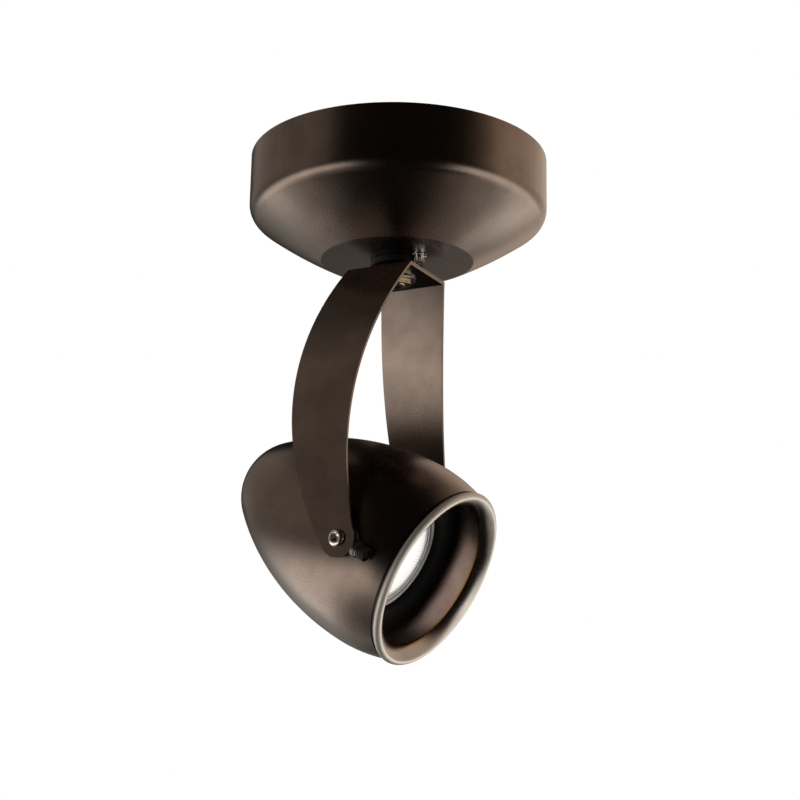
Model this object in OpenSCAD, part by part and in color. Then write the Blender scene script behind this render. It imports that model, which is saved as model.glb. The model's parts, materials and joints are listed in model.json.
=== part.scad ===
// Adjustable ceiling spot: round canopy, bent two-arm yoke and bullet-shaped head
// Millimetres, Z up, the ceiling is the plane z = 0 and the canopy's axis is Z
// The yoke turns about Z, and the head tilts about an axis along Y and aims towards +X
// Distances named s run along the head's axis, forwards from the pivot

/* [Canopy] */
// Diameter of the canopy
canopy_d = 140; // [125:1:170]
// Height of the straight side wall, down to where the shoulder starts
canopy_wall_h = 23.9; // [18:0.1:30]
// Radius of the shoulder under the side wall
canopy_shoulder_r = 7.6; // [3:0.1:12]
// Depth of the canopy, from the ceiling to its flat face
canopy_h = 48.9; // [44:0.1:60]
// Diameter of the flat face at the bottom
canopy_face_d = 71.5; // [66:0.5:80]
// Radius of the slight crown of the sloping flank
canopy_crown_r = 245; // [180:5:400]
// Thickness of the canopy's metal
canopy_t = 1.6; // [1:0.1:2.4]

/* [Ceiling plate] */
// Diameter of the round part of the ceiling plate
plate_d = 112; // [104:1:118]
// Thickness of the ceiling plate
plate_t = 1.6; // [1.2:0.1:2.5]
// Distance between the outlet box screws
box_spacing = 88.9; // [80:0.1:90]
// Width of the slots for the outlet box screws
box_slot_w = 4.8; // [4.4:0.1:5.5]
// Length of those slots, end to end
box_slot_l = 14; // [8:0.5:16]
// Diameter of the middle hole for the supply wires
wire_hole_d = 22; // [16:0.5:30]
// Direction of the two side screws about the canopy's axis
side_screw_az = 28; // [20:1:60]
// Depth of the side screws below the ceiling
side_screw_drop = 9; // [6:0.5:12]
// Width of the two tabs that take the side screws
tab_w = 16; // [12:0.5:20]
// Diameter of the side screws
side_screw_d = 4; // [3:0.5:5]

/* [Supply parts] */
// Length of the transformer's case
transformer_l = 62; // [50:1:66]
// Width of the transformer's case
transformer_w = 22; // [18:0.5:24]
// Height of the transformer's case
transformer_h = 22; // [16:0.5:23]
// Height of the transformer's shelf above the canopy's inner face
shelf_rise = 14.3; // [13:0.1:16]
// Thickness of the sheet steel of the shelf
shelf_t = 1.2; // [0.8:0.1:2]
// Length of the terminal block
terminal_l = 28; // [22:1:32]
// Width of the terminal block
terminal_w = 15; // [12:0.5:16]
// Height of the terminal block
terminal_h = 12.5; // [10:0.5:15]

/* [Swivel] */
// Outer diameter of the hollow threaded stem
stem_d = 8; // [7.5:0.5:10]
// Diameter of the stem's bore
stem_bore = 5.6; // [4.6:0.1:6]
// Diameter of the black collar under the canopy
collar_d = 25; // [22:0.2:26]
// Thickness of the collar's wide flange
collar_flange_h = 3.1; // [2:0.1:4]
// Diameter of the collar's neck
collar_neck_d = 18; // [16:0.5:20]
// Thickness of the steel washers on the stem
stem_washer_t = 0.6; // [0.5:0.1:1.2]
// Diameter of the spring washer under the yoke
spring_washer_d = 17.8; // [15:0.2:22]
// Width across the flats of the swivel nut
swivel_nut_af = 12.5; // [12:0.5:16]
// Thickness of the swivel nut
swivel_nut_h = 2.2; // [2:0.1:4]
// Length of the stem that stands out below the swivel nut
stem_end = 0.4; // [0.3:0.1:3]
// Distance of the stop screw from the canopy's axis
stop_r = 15; // [15:0.1:15.4]
// Diameter of the stop screw's head
stop_screw_d = 4.4; // [4:0.1:4.6]
// Direction of the stop screw about the canopy's axis
stop_screw_az = -20; // [-30:1:30]

/* [Yoke] */
// Distance from the canopy's face down to the top of the yoke
yoke_gap = 6.9; // [6:0.1:9]
// Width of the yoke's strip at its top plate
yoke_w = 33; // [31:0.5:38]
// Thickness of the yoke's strip
yoke_t = 1.5; // [1.2:0.1:2.5]
// Height from the pivot to the top of the yoke
yoke_h = 130; // [124:0.5:150]
// Radius of the outward bow of the arms
bow_r = 184.3; // [176:0.1:220]
// Height above the pivot where the bow ends and the arm runs straight
bow_low = 26.3; // [20:0.1:34]
// Radius of the rear edge of the arms, seen from the side
arm_rear_r = 163; // [146:1:175]
// Distance of the front edge from the pivot's vertical at its narrowest
arm_waist = 2.9; // [2:0.1:8]
// Height of that narrowest place above the pivot
arm_waist_h = 49.6; // [40:0.1:55]
// Radius of the round end of each arm
arm_end_r = 8.4; // [7.6:0.1:9]

/* [Head shell] */
// Angle of the head's axis below the horizontal at rest
head_tilt = 29.2; // [0:0.1:60]
// Greatest diameter of the shell
head_d = 90; // [86:0.5:100]
// Distance of the widest section ahead of the pivot
head_widest = 1.3; // [0:0.1:4]
// Length from the widest section to the tip at the back
head_back = 85.2; // [82:0.2:92]
// Radius of the long curve from the widest section to the back
flank_r = 128.5; // [124:0.5:150]
// Radius of the curve from the widest section to the mouth
front_r = 68; // [60:0.5:90]
// Distance of the shell's front edge ahead of the pivot
shell_front = 23.4; // [21:0.1:26]
// Thickness of the shell's wall
shell_t = 2.2; // [1.6:0.1:2.6]
// Diameter of the flat pivot bosses on the shell
boss_d = 13; // [11:0.5:13.5]
// Height of the boss faces beyond the widest radius
boss_proud = 0.7; // [0.2:0.1:1.2]

/* [Mouth] */
// Diameter of the opening inside the bezel
mouth_d = 69; // [64:0.2:70]
// Depth of the bezel's inner edge below the shell's front edge
lip_drop = 0.3; // [0:0.1:2]
// Radius of the bezel's rounded rim
rim_r = 1.9; // [1.2:0.1:2.2]
// Distance of the rim's own centre ahead of the shell's front edge
rim_ahead = 2.7; // [2.2:0.1:3]
// Overhang of the rim beyond the shell's front edge
rim_over = 0.7; // [0:0.1:1]
// Radius of the rolled face between the rim and the opening
roll_r = 9.5; // [8:0.5:14]
// Width of the step between the bezel's edge and the baffle tube
baffle_step = 1.1; // [0.6:0.1:1.4]
// Thickness of the baffle tube
baffle_t = 0.8; // [0.6:0.1:1]
// Distance of the lamp carrier's front face ahead of the pivot
carrier_front = 8.9; // [8.6:0.1:10]
// Thickness of the lamp carrier's plate
carrier_t = 1.5; // [1:0.1:1.8]

/* [Lamp] */
// Diameter of the reflector lamp
lamp_d = 49.8; // [48:0.1:51]
// Distance of the lamp's front edge ahead of the pivot
lamp_front = 3.4; // [3:0.1:5]
// Height of the lamp's rim
lamp_rim_h = 2.7; // [2:0.1:3]
// Length of the lamp from its front edge to the end of its base
lamp_l = 39.4; // [38:0.2:42]
// Diameter of the lamp's bright window
lens_d = 46.6; // [44:0.2:47]
// Distance between the lamp's pins
pin_spacing = 5.33; // [4:0.01:6.35]
// Length of the lamp's pins
pin_l = 7.5; // [6:0.1:8]

/* [Pivots] */
// Diameter of the pivot screws' shoulder
shoulder_d = 5; // [4.5:0.1:6]
// Diameter of the pivot screws' heads
pivot_head_d = 7.6; // [7:0.1:9]
// Height of the pivot screws' heads
pivot_head_h = 1.6; // [1.2:0.1:2.5]
// Thickness of the nylon washers between head and arms
pivot_washer_t = 1.8; // [0.8:0.1:2]
// Diameter of the tilt lock's lug
lock_lug_d = 6.8; // [6:0.1:7]
// Length of the tilt lock's lug along the head
lock_lug_l = 2.2; // [2:0.1:3]
// Diameter of the tilt lock screw's head
lock_head_d = 6.4; // [5:0.1:7]
// Height of the tilt lock screw's head
lock_head_h = 3.2; // [2:0.1:4]

/* [Clearances] */
// Gap on the radius between a turning pin and its hole
run_fit = 0.05; // [0.02:0.01:0.1]
// Gap on the radius between a fixed screw and its hole
screw_fit = 0.05; // [0.03:0.01:0.1]
// Gap between faces that move past each other
face_gap = 0.3; // [0.3:0.05:0.5]
// Gap around parts that are set into one another
seat_gap = 0.25; // [0.2:0.05:0.4]

/* [Hidden] */
$fn = 96;

bronze = "#4a413b";
black = "#1c1b1a";
steel = "#b9babb";
brass = "#b79a5b";
ceramic = "#eeeae0";

// Point at distance ra from a and rb from b, on the left of the way from a to b where side is 1
function meet(a, ra, b, rb, side) =
  let (d = norm(b - a), e = (b - a) / d, k = (ra * ra - rb * rb + d * d) / (2 * d))
  a + k * e + side * sqrt(ra * ra - k * k) * [-e.y, e.x];

// Canopy
canopy_r = canopy_d / 2;
canopy_inner_z = -canopy_h + canopy_t;
shoulder_c = [canopy_r - canopy_shoulder_r, -canopy_wall_h];
face_edge = [canopy_face_d / 2, -canopy_h];
crown_c = meet(shoulder_c, canopy_crown_r - canopy_shoulder_r, face_edge, canopy_crown_r, -1);
shoulder_dir = (shoulder_c - crown_c) / norm(shoulder_c - crown_c);

// Ceiling plate and its tabs
tab_gap = 1.8;
tab_outer = canopy_r - canopy_t - tab_gap;
tab_drop = side_screw_drop + 7;
side_nut_af = side_screw_d * 1.75;
side_nut_h = side_screw_d * 0.8;
side_screw_inset = 0.2;
side_socket = side_screw_d * 0.58;
side_screw_l = canopy_r - side_screw_inset - (tab_outer - plate_t - side_nut_h - 1);
ground_screw_d = 4;
ground_head_h = 2.4;
ground_screw_at = [-18, -30];

// Transformer shelf and terminal block
shelf_z = canopy_inner_z + shelf_rise;
shelf_riser_y = 15;
transformer_y = shelf_riser_y + shelf_t + 2 + transformer_w / 2;
transformer_ear = 6;
transformer_ear_t = 2.5;
ear_screw_x = (transformer_l + transformer_ear) / 2;
transformer_screw_d = 3;
small_head_h = 2;
shelf_foot_w = 24;
terminal_offset = 13;
terminal_y = -terminal_offset - terminal_w / 2;
terminal_pitch = 8;
terminal_count = 3;
terminal_bore_d = 3.6;
terminal_bore_rise = terminal_h * 0.35;
terminal_screw_d = 3.5;
terminal_screw_l = terminal_h * 0.5 - 1;
driver_slot_w = 0.8;

// Swivel stack, from the canopy's face down to the end of the stem
stem_r = stem_d / 2;
stem_rise = 9;
stem_top_z = canopy_inner_z + stem_rise;
lock_nut_h = 4;
lock_nut_af = stem_d * 1.6;
lock_tooth_r = stem_d * 1.05;
lock_notch_d = 1.8;
stop_thread_d = 3;
yoke_top_z = -canopy_h - yoke_gap;
yoke_under_z = yoke_top_z - yoke_t;
thrust_z = yoke_top_z + face_gap;
swivel_nut_z = yoke_under_z - face_gap - stem_washer_t;
stem_end_z = swivel_nut_z - swivel_nut_h - stem_end;
bushing_flange = 0.6;
bushing_wall = 0.6;
bushing_l = 6;
stop_screw_h = 3.4;
stud_d = 2.2;
stud_r = stop_r - 0.6;
stud_rise = 4.8;
stud_foot_d = 3.6;
stud_foot_h = 0.6;

// Head shell curves, as points of radius and s
head_r = head_d / 2;
flank_c = [head_r - flank_r, head_widest];
nose_r = (2 * flank_r * head_r - head_back * head_back - head_r * head_r) / (2 * (flank_r - head_back));
nose_c = [0, head_widest - head_back + nose_r];
nose_dir = (nose_c - flank_c) / norm(nose_c - flank_c);
front_c = [head_r - front_r, head_widest];
function front_radius(s) = front_c.x + sqrt(front_r * front_r - (s - head_widest) * (s - head_widest));
boss_face = head_r + boss_proud;
boss_l = 9.2;
boss_root = boss_face - boss_l;

// Yoke arms and pivots
pivot_z = yoke_top_z - yoke_h;
arm_inner = boss_face + pivot_washer_t + face_gap;
arm_outer = arm_inner + yoke_t;
bow_c = [arm_outer - bow_r, pivot_z + bow_low];
bow_top_u = bow_c.x + sqrt(bow_r * bow_r - (yoke_top_z - bow_c.y) * (yoke_top_z - bow_c.y));
arm_rear_c = meet([-yoke_w / 2, yoke_top_z], arm_rear_r, [0, pivot_z], arm_rear_r - arm_end_r, 1);
arm_rear_dir = ([0, pivot_z] - arm_rear_c) / norm([0, pivot_z] - arm_rear_c);
waist_z = pivot_z + arm_waist_h;
waist_rise = yoke_top_z - waist_z;
waist_in = yoke_w / 2 - arm_waist;
arm_front_r = (waist_rise * waist_rise + waist_in * waist_in) / (2 * waist_in);
pivot_thread_d = 4;
pivot_thread_l = 7;
pivot_washer_d = boss_d + 1;

// Tilt lock
lock_y = -(arm_inner + arm_outer) / 2;
lock_back = arm_end_r + 0.9;
lock_tip = arm_end_r + face_gap;
lock_thread_d = 3;
lock_foot_w = 4.8;
lock_pocket = 1.2;
lock_foot_y = -(front_radius(lock_back + lock_lug_l) - lock_pocket);

// Mouth and lamp carrier
bezel_outer = front_radius(shell_front) + rim_over;
mouth_r = mouth_d / 2;
lip_s = shell_front - lip_drop;
rim_c = [bezel_outer - rim_r, shell_front + rim_ahead];
rim_back_angle = -65;
lip_t = 0.8;
baffle_inner = mouth_r + baffle_step;
baffle_outer = baffle_inner + baffle_t;
spigot_inner = baffle_outer + seat_gap;
spigot_outer = front_radius(shell_front) - shell_t - seat_gap;
spigot_l = 6.5;
carrier_back = carrier_front - carrier_t;
carrier_outer = front_radius(carrier_front) - shell_t - seat_gap - 0.2;
lamp_r = lamp_d / 2;
cup_inner = lamp_r + 0.6;
cup_t = 1.4;
ledge_s = lamp_front - lamp_rim_h;
ledge_t = 1.5;
bowl_r = lamp_r - 1.6;
ledge_inner = bowl_r + seat_gap;
carrier_screw_head = 4.4;
carrier_screw_d = 3;
carrier_screw_l = 7.5;
post_r = 4.2;
post_at = carrier_outer - carrier_screw_head / 2 - 0.1;
post_hole_l = 8;
post_back = -2;

// Lamp and its socket
clip_t = 0.9;
lens_r = lens_d / 2;
lens_t = 0.8;
lens_s = lamp_front - 0.4;
lamp_back = lamp_front - lamp_l;
lamp_neck_l = 14;
neck_s = lamp_back + lamp_neck_l;
reflector_t = 1.5;
reflector_closing = 4;
reflector_apex = neck_s - reflector_closing;
capsule_d = 9;
capsule_l = 16;
base_neck_r = 8.6;
base_neck_l = 8;
base_w = 17;
base_d = 9;
pin_d = 1.6;
socket_w = 18;
socket_d = 11;
socket_l = 12.5;
socket_back = lamp_back - socket_l;
socket_screw_d = 2.4;
socket_screw_at = 6.4;
bracket_t = 1.2;
bracket_w = 12;
leg_in = cup_inner + cup_t + 0.4;
foot_l = 6.5;
rivet_d = 3;
rivet_at = leg_in + bracket_t + foot_l / 2;

// Cord inlet at the back of the shell
inlet_r = 4;
grommet_bore = 5.2;
inlet_out_s = nose_c.y - sqrt(nose_r * nose_r - inlet_r * inlet_r);
grommet_flange = 1.5;
inlet_inner_r = inlet_r + 2;
inlet_in_s = nose_c.y - sqrt((nose_r - shell_t) * (nose_r - shell_t) - inlet_inner_r * inlet_inner_r);

// Flat ring about Z, from z = 0 up to h
module ring(outer_r, inner_r, h) {
  difference() {
    cylinder(r = outer_r, h = h);
    translate([0, 0, -1]) cylinder(r = inner_r, h = h + 2);
  }
}

// Hexagonal nut about Z, from z = 0 up to h
module hex_nut(across_flats, hole_r, h) {
  difference() {
    cylinder(d = across_flats / cos(30), h = h, $fn = 6);
    translate([0, 0, -1]) cylinder(r = hole_r, h = h + 2);
  }
}

// Screw about Z: its head from z = 0 up to head_h with a hexagonal socket, its thread below
module screw(head_d, head_h, thread_d, thread_l) {
  difference() {
    union() {
      cylinder(d = head_d, h = head_h);
      translate([0, 0, -thread_l]) cylinder(d = thread_d, h = thread_l + head_h / 2);
    }
    translate([0, 0, head_h / 2]) cylinder(d = head_d * 0.45, h = head_h, $fn = 6);
  }
}

// Rectangle in the plane of radius and s
module band(r1, r2, s1, s2) {
  translate([r1, s1]) square([r2 - r1, s2 - s1]);
}

// Turns an outline of radius and s about the head's axis
module revolve() {
  rotate([0, 90, 0]) rotate_extrude() children();
}

// Puts a part that stands along Z onto the head's axis, with its foot at s
module along_head(s) {
  translate([s, 0, 0]) rotate([0, 90, 0]) children();
}

// Puts the head's own frame in its place at rest
module at_pivot() {
  translate([0, 0, pivot_z]) rotate([0, head_tilt, 0]) children();
}

// Repeats a part for the arms at -Y and +Y, with its Z axis pointing outwards
module both_pivots() {
  for (side = [-1, 1]) rotate([side * -90, 0, 0]) children();
}

// Canopy's outline of radius and z, drawn in by inset
module canopy_region(inset) {
  shoulder_end = shoulder_c + (canopy_shoulder_r - inset) * shoulder_dir;
  translate([0, -canopy_wall_h]) square([canopy_r - inset, canopy_wall_h]);
  translate(shoulder_c) circle(canopy_shoulder_r - inset);
  intersection() {
    translate(crown_c) circle(canopy_crown_r - inset, $fn = 720);
    translate([0, -canopy_h + inset]) square([shoulder_end.x, canopy_h - inset]);
  }
}

module canopy_shell() {
  color(bronze) difference() {
    rotate_extrude() difference() {
      canopy_region(0);
      canopy_region(canopy_t);
      translate([0, -1]) square([canopy_r - canopy_t, 2]);
    }
    translate([0, 0, -canopy_h - 1]) cylinder(r = stem_r + screw_fit, h = canopy_t + 2);
    rotate(stop_screw_az) translate([stop_r, 0, -canopy_h - 1])
      cylinder(d = stop_thread_d + 2 * screw_fit, h = canopy_t + 2);
    for (turn = [0, 180]) rotate(side_screw_az + turn)
      translate([canopy_r - canopy_t - 1, 0, -side_screw_drop]) rotate([0, 90, 0])
        cylinder(d = side_screw_d + 2 * screw_fit, h = canopy_t + 2);
  }
}

// Slot with round ends, running along X
module box_slot() {
  half = (box_slot_l - box_slot_w) / 2;
  square([2 * half, box_slot_w], center = true);
  for (side = [-1, 1]) translate([side * half, 0]) circle(d = box_slot_w);
}

// Ceiling plate seen from below, with its two arms
module plate_outline() {
  difference() {
    union() {
      circle(d = plate_d);
      rotate(side_screw_az) square([2 * tab_outer, tab_w], center = true);
    }
    circle(d = wire_hole_d);
    for (side = [-1, 1]) translate([side * box_spacing / 2, 0]) box_slot();
    translate(ground_screw_at) circle(d = ground_screw_d + 2 * screw_fit);
  }
}

module ceiling_plate() {
  color(steel) difference() {
    union() {
      translate([0, 0, -plate_t]) linear_extrude(plate_t) plate_outline();
      for (turn = [0, 180]) rotate(side_screw_az + turn)
        translate([tab_outer - plate_t, -tab_w / 2, -tab_drop]) cube([plate_t, tab_w, tab_drop]);
    }
    for (turn = [0, 180]) rotate(side_screw_az + turn)
      translate([tab_outer - plate_t - 1, 0, -side_screw_drop]) rotate([0, 90, 0])
        cylinder(d = side_screw_d + 2 * screw_fit, h = plate_t + 2);
  }
}

module plate_nuts() {
  color(steel) for (turn = [0, 180]) rotate(side_screw_az + turn)
    translate([tab_outer - plate_t - side_nut_h, 0, -side_screw_drop]) rotate([0, 90, 0])
      hex_nut(side_nut_af, side_screw_d / 2 + screw_fit, side_nut_h);
}

module canopy_screws() {
  color(black) for (turn = [0, 180]) rotate(side_screw_az + turn)
    translate([canopy_r - side_screw_inset, 0, -side_screw_drop]) rotate([0, 90, 0]) difference() {
      translate([0, 0, -side_screw_l]) cylinder(d = side_screw_d, h = side_screw_l);
      translate([0, 0, -2]) cylinder(d = side_socket, h = 3, $fn = 6);
    }
}

module ground_screw() {
  color("#3f8a4b") translate([ground_screw_at.x, ground_screw_at.y, -plate_t]) rotate([180, 0, 0])
    screw(ground_screw_d * 2, ground_head_h, ground_screw_d, plate_t);
}

// Bent steel sheet: foot under the stem's nut, riser, and shelf for the transformer
module transformer_shelf() {
  shelf_end_y = transformer_y + transformer_w / 2 + 1;
  shelf_half_l = transformer_l / 2 + transformer_ear;
  foot_start_y = terminal_y - terminal_w / 2 - 1;
  color(steel) difference() {
    union() {
      translate([-shelf_foot_w / 2, foot_start_y, canopy_inner_z])
        cube([shelf_foot_w, shelf_riser_y + shelf_t - foot_start_y, shelf_t]);
      translate([-shelf_foot_w / 2, shelf_riser_y, canopy_inner_z]) cube([shelf_foot_w, shelf_t, shelf_rise]);
      translate([-shelf_half_l, shelf_riser_y, shelf_z - shelf_t])
        cube([2 * shelf_half_l, shelf_end_y - shelf_riser_y, shelf_t]);
    }
    translate([0, 0, canopy_inner_z - 1]) cylinder(r = stem_r + screw_fit, h = shelf_t + 2);
    for (side = [-1, 1]) translate([side * ear_screw_x, transformer_y, shelf_z - shelf_t - 1])
      cylinder(d = transformer_screw_d + 2 * screw_fit, h = shelf_t + 2);
  }
}

module transformer() {
  color(black) difference() {
    union() {
      translate([-transformer_l / 2, transformer_y - transformer_w / 2, shelf_z])
        cube([transformer_l, transformer_w, transformer_h]);
      translate([-transformer_l / 2 - transformer_ear, transformer_y - transformer_w / 4, shelf_z])
        cube([transformer_l + 2 * transformer_ear, transformer_w / 2, transformer_ear_t]);
    }
    for (side = [-1, 1]) translate([side * ear_screw_x, transformer_y, shelf_z - 1])
      cylinder(d = transformer_screw_d + 2 * screw_fit, h = transformer_ear_t + 2);
  }
}

module transformer_screws() {
  color(steel) for (side = [-1, 1])
    translate([side * ear_screw_x, transformer_y, shelf_z + transformer_ear_t])
      screw(transformer_screw_d * 1.7, small_head_h, transformer_screw_d, transformer_ear_t + shelf_t);
}

module terminal_block() {
  block_z = canopy_inner_z + shelf_t;
  color(ceramic) difference() {
    translate([-terminal_l / 2, terminal_y - terminal_w / 2, block_z])
      cube([terminal_l, terminal_w, terminal_h]);
    for (i = [0 : terminal_count - 1]) translate([(i - 1) * terminal_pitch, terminal_y, 0]) {
      translate([0, terminal_w / 2 + 1, block_z + terminal_bore_rise]) rotate([90, 0, 0])
        cylinder(d = terminal_bore_d, h = terminal_w + 2);
      translate([0, 0, block_z + terminal_h / 2])
        cylinder(d = terminal_screw_d + 2 * screw_fit, h = terminal_h);
    }
  }
}

module terminal_screws() {
  screw_top = canopy_inner_z + shelf_t + terminal_h - 1;
  color(brass) for (i = [0 : terminal_count - 1]) translate([(i - 1) * terminal_pitch, terminal_y, screw_top])
    difference() {
      translate([0, 0, -terminal_screw_l]) cylinder(d = terminal_screw_d, h = terminal_screw_l);
      translate([-terminal_screw_d, -driver_slot_w / 2, -driver_slot_w])
        cube([2 * terminal_screw_d, driver_slot_w, 2]);
    }
}

module swivel_stem() {
  color(brass) translate([0, 0, stem_end_z]) ring(stem_r, stem_bore / 2, stem_top_z - stem_end_z);
}

module stem_lock_washer() {
  color(steel) translate([0, 0, canopy_inner_z + shelf_t]) difference() {
    ring(lock_tooth_r, stem_r + screw_fit, stem_washer_t);
    for (i = [0 : 11]) rotate(i * 30) translate([lock_tooth_r, 0, -1])
      cylinder(d = lock_notch_d, h = stem_washer_t + 2);
  }
}

module stem_lock_nut() {
  color(steel) translate([0, 0, canopy_inner_z + shelf_t + stem_washer_t])
    hex_nut(lock_nut_af, stem_r + screw_fit, lock_nut_h);
}

module hub_collar() {
  collar_h = -canopy_h - (thrust_z + stem_washer_t);
  color(black) translate([0, 0, -canopy_h]) rotate([180, 0, 0]) {
    ring(collar_d / 2, stem_r + screw_fit, collar_flange_h);
    ring(collar_neck_d / 2, stem_r + screw_fit, collar_h);
  }
}

module thrust_washer() {
  color(steel) translate([0, 0, thrust_z]) ring(collar_neck_d / 2 + 1, stem_r + screw_fit, stem_washer_t);
}

module spring_washer() {
  color(steel) translate([0, 0, swivel_nut_z]) ring(spring_washer_d / 2, stem_r + screw_fit, stem_washer_t);
}

module swivel_nut() {
  color(brass) translate([0, 0, swivel_nut_z - swivel_nut_h])
    hex_nut(swivel_nut_af, stem_r + screw_fit, swivel_nut_h);
}

module stem_bushing() {
  sleeve_r = stem_bore / 2 - screw_fit;
  color(black) translate([0, 0, stem_end_z]) rotate([180, 0, 0]) difference() {
    union() {
      cylinder(r = stem_r - 0.2, h = bushing_flange);
      translate([0, 0, -bushing_l]) cylinder(r = sleeve_r, h = bushing_l + bushing_flange / 2);
    }
    translate([0, 0, -bushing_l - 1]) cylinder(r = sleeve_r - bushing_wall, h = bushing_l + 3);
  }
}

module stop_screw() {
  color(steel) rotate(stop_screw_az) translate([stop_r, 0, -canopy_h]) rotate([180, 0, 0])
    screw(stop_screw_d, stop_screw_h, stop_thread_d, canopy_t + 3);
}

// One arm and half the top plate, seen along X
module bow_half() {
  intersection() {
    difference() {
      translate(bow_c) circle(bow_r, $fn = 480);
      translate(bow_c) circle(bow_r - yoke_t, $fn = 480);
    }
    translate([0, bow_c.y]) square([arm_outer, yoke_top_z - bow_c.y]);
  }
  translate([0, yoke_under_z]) square([bow_top_u - yoke_t / 2, yoke_t]);
  translate([arm_inner, pivot_z - arm_end_r - 1]) square([yoke_t, bow_low + arm_end_r + 1]);
}

// Outline of the strip, seen along Y
module arm_outline() {
  rear_end_z = pivot_z + arm_end_r * arm_rear_dir.y;
  translate([0, pivot_z]) circle(arm_end_r);
  difference() {
    intersection() {
      translate(arm_rear_c) circle(arm_rear_r, $fn = 480);
      union() {
        translate([-yoke_w, pivot_z]) square([2 * yoke_w, yoke_h + 1]);
        translate([-yoke_w, rear_end_z]) square([yoke_w, pivot_z - rear_end_z + 1]);
      }
    }
    translate([arm_waist + arm_front_r, waist_z]) circle(arm_front_r, $fn = 480);
  }
}

module yoke_strap() {
  color(bronze) difference() {
    intersection() {
      rotate([90, 0, 90]) linear_extrude(3 * yoke_w, center = true) {
        bow_half();
        mirror([1, 0]) bow_half();
      }
      rotate([90, 0, 0]) linear_extrude(3 * arm_outer, center = true) arm_outline();
    }
    translate([0, 0, yoke_under_z - 1]) cylinder(r = stem_r + run_fit, h = yoke_t + 2);
    rotate(stop_screw_az + 180) translate([stud_r, 0, yoke_under_z - 1])
      cylinder(d = stud_d + 2 * screw_fit, h = yoke_t + 2);
    translate([0, 0, pivot_z]) both_pivots() translate([0, 0, arm_inner - 1])
      cylinder(d = shoulder_d + 2 * run_fit, h = yoke_t + 2);
  }
}

module stop_stud() {
  color(steel) rotate(stop_screw_az + 180) translate([stud_r, 0, yoke_under_z - stud_foot_h]) {
    cylinder(d = stud_d, h = yoke_t + stud_foot_h + stud_rise);
    cylinder(d = stud_foot_d, h = stud_foot_h);
  }
}

// Shell's outline of radius and s, drawn in by inset
module head_region(inset) {
  nose_end = nose_c + (nose_r - inset) * nose_dir;
  intersection() {
    translate(flank_c) circle(flank_r - inset, $fn = 480);
    band(0, head_d, nose_end.y, head_widest);
  }
  intersection() {
    translate(nose_c) circle(nose_r - inset);
    band(0, head_d, nose_c.y - nose_r, nose_c.y + nose_r);
  }
  intersection() {
    translate(front_c) circle(front_r - inset, $fn = 360);
    band(0, head_d, head_widest - nose_r / 2, shell_front);
  }
}

// Places of the four posts that take the lamp carrier's screws
module carrier_posts() {
  for (i = [0 : 3]) rotate([45 + 90 * i, 0, 0]) translate([0, post_at, 0]) children();
}

module head_shell() {
  color(bronze) at_pivot() difference() {
    union() {
      revolve() difference() {
        head_region(0);
        head_region(shell_t);
        band(0, front_radius(shell_front) - shell_t, shell_front - 1, shell_front + 1);
      }
      both_pivots() translate([0, 0, boss_root]) cylinder(d = boss_d, h = boss_face - boss_root);
      intersection() {
        carrier_posts() along_head(post_back) cylinder(r = post_r, h = carrier_back - post_back);
        revolve() head_region(shell_t / 2);
      }
    }
    both_pivots() translate([0, 0, boss_root - 1])
      cylinder(d = pivot_thread_d + 2 * screw_fit, h = boss_face - boss_root + 2);
    carrier_posts() along_head(carrier_back - post_hole_l)
      cylinder(d = carrier_screw_d + 2 * screw_fit, h = post_hole_l + 1);
    along_head(nose_c.y - nose_r - 1) cylinder(r = inlet_r, h = shell_t + 3);
    translate([lock_back - screw_fit, lock_foot_y - head_r, -lock_foot_w / 2 - screw_fit])
      cube([lock_lug_l + 2 * screw_fit, head_r, lock_foot_w + 2 * screw_fit]);
  }
}

// Points of an arc from angle a1 to a2
function arc(c, r, a1, a2, steps) =
  [for (i = [0 : steps]) let (a = a1 + (a2 - a1) * i / steps) c + r * [cos(a), sin(a)]];

// Front ring: rounded rim, rolled face down to the lip, and a spigot inside the shell
module bezel_ring() {
  lip = [mouth_r, lip_s];
  roll_c = meet(lip, roll_r, rim_c, roll_r - rim_r, -1);
  roll_start = atan2(rim_c.y - roll_c.y, rim_c.x - roll_c.x);
  roll_end = atan2(lip.y - roll_c.y, lip.x - roll_c.x);
  rim = arc(rim_c, rim_r, rim_back_angle, roll_start, 16);
  roll = arc(roll_c, roll_r, roll_start, roll_end, 12);
  back = [[mouth_r, lip_s - lip_t], [spigot_inner, lip_s - lip_t],
    [spigot_inner, shell_front - spigot_l], [spigot_outer, shell_front - spigot_l],
    [spigot_outer, shell_front], [rim[0].x, shell_front]];
  color(bronze) at_pivot() revolve() polygon(concat(rim, [for (i = [1 : len(roll) - 1]) roll[i]], back));
}

module baffle_tube() {
  color("#6b5448") at_pivot() revolve() band(baffle_inner, baffle_outer, carrier_front, lip_s - lip_t);
}

module lamp_carrier() {
  color(black) at_pivot() difference() {
    revolve() {
      band(cup_inner, carrier_outer, carrier_back, carrier_front);
      band(cup_inner, cup_inner + cup_t, ledge_s - ledge_t, carrier_front);
      band(ledge_inner, cup_inner + cup_t, ledge_s - ledge_t, ledge_s);
    }
    carrier_posts() along_head(carrier_back - 1)
      cylinder(d = carrier_screw_d + 2 * screw_fit, h = carrier_t + 2);
    for (side = [-1, 1]) translate([0, 0, side * rivet_at]) along_head(carrier_back - 1)
      cylinder(d = rivet_d + 2 * screw_fit, h = carrier_t + 2);
  }
}

module carrier_screws() {
  color(steel) at_pivot() carrier_posts() along_head(carrier_front)
    screw(carrier_screw_head, small_head_h, carrier_screw_d, carrier_screw_l);
}

module lamp_clip_ring() {
  color(steel) at_pivot() revolve() band(lens_r + 0.2, cup_inner - 0.1, lamp_front, lamp_front + clip_t);
}

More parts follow.
